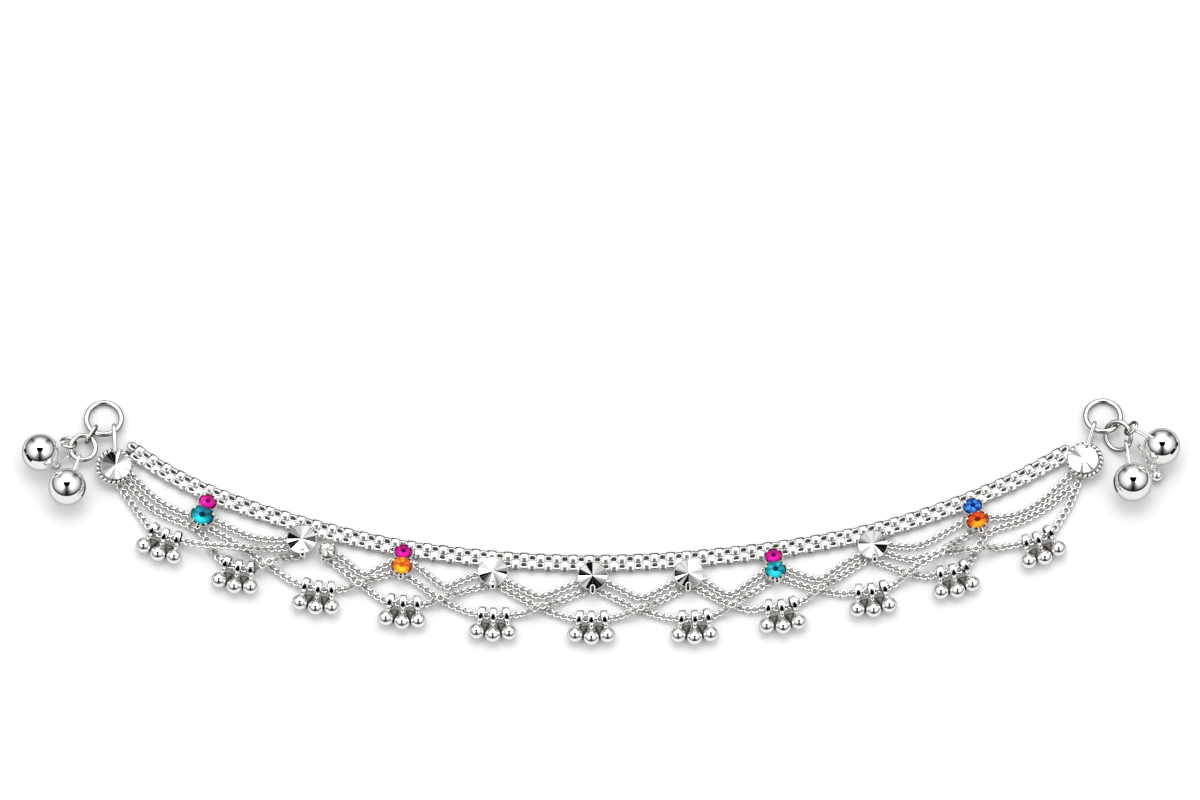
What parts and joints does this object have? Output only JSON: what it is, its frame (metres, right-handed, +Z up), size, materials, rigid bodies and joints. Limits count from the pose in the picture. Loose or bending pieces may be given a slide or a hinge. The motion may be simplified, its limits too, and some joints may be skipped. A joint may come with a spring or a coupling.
{
  "type": "payal anklet",
  "caption": "Silver anklet that lies open in a crescent, with a woven band, mirror discs, coloured stones, swagged chains and round bells.",
  "frame": {"origin": "on the surface that the anklet lies on, below the middle of its box", "axes": "+X along the anklet towards the end with the round drop, +Y towards the hollow side of the crescent, +Z up from the surface"},
  "size_m": [0.2666, 0.0588, 0.009],
  "materials": {
    "silver": "polished",
    "magenta": "polished",
    "teal": "polished",
    "orange": "polished",
    "cyan": "polished",
    "blue": "polished",
    "orange_red": "polished",
    "clear_stone": "polished"
  },
  "bodies": {
    "root": {"band_chain": "silver", "bell_bunch_01": "silver", "bell_bunch_02": "silver", "bell_bunch_03": "silver", "bell_bunch_04": "silver", "bell_bunch_05": "silver", "bell_bunch_06": "silver", "bell_bunch_07": "silver", "bell_bunch_08": "silver", "bell_bunch_09": "silver", "bell_bunch_10": "silver", "bell_bunch_11": "silver", "bell_chain_01": "silver", "bell_chain_02": "silver", "bell_chain_03": "silver", "bell_chain_04": "silver", "bell_chain_05": "silver", "bell_chain_06": "silver", "bell_chain_07": "silver", "bell_chain_08": "silver", "bell_chain_09": "silver", "bell_chain_10": "silver", "bell_chain_11": "silver", "bell_left_lower": "silver", "bell_left_outer": "silver", "bell_right_lower": "silver", "bell_right_outer": "silver", "clear_setting": "silver", "connector_left": "silver", "disc_03": "silver", "disc_05": "silver", "disc_06": "silver", "disc_07": "silver", "disc_09": "silver", "drop_right": "silver", "end_disc_left": "silver", "end_disc_right": "silver", "end_ring_left": "silver", "end_ring_right": "silver", "jump_ring_left": "silver", "jump_ring_right": "silver", "knob_left": "silver", "medium_ring_left": "silver", "medium_ring_right": "silver", "setting_02": "silver", "setting_04": "silver", "setting_08": "silver", "setting_10": "silver", "short_swags": "silver", "stone_02_lower": "teal", "stone_02_upper": "magenta", "stone_04_lower": "orange", "stone_04_upper": "magenta", "stone_08_lower": "cyan", "stone_08_upper": "magenta", "stone_10_lower": "orange_red", "stone_10_upper": "blue", "stone_clear": "clear_stone"}
  },
  "joints": []
}
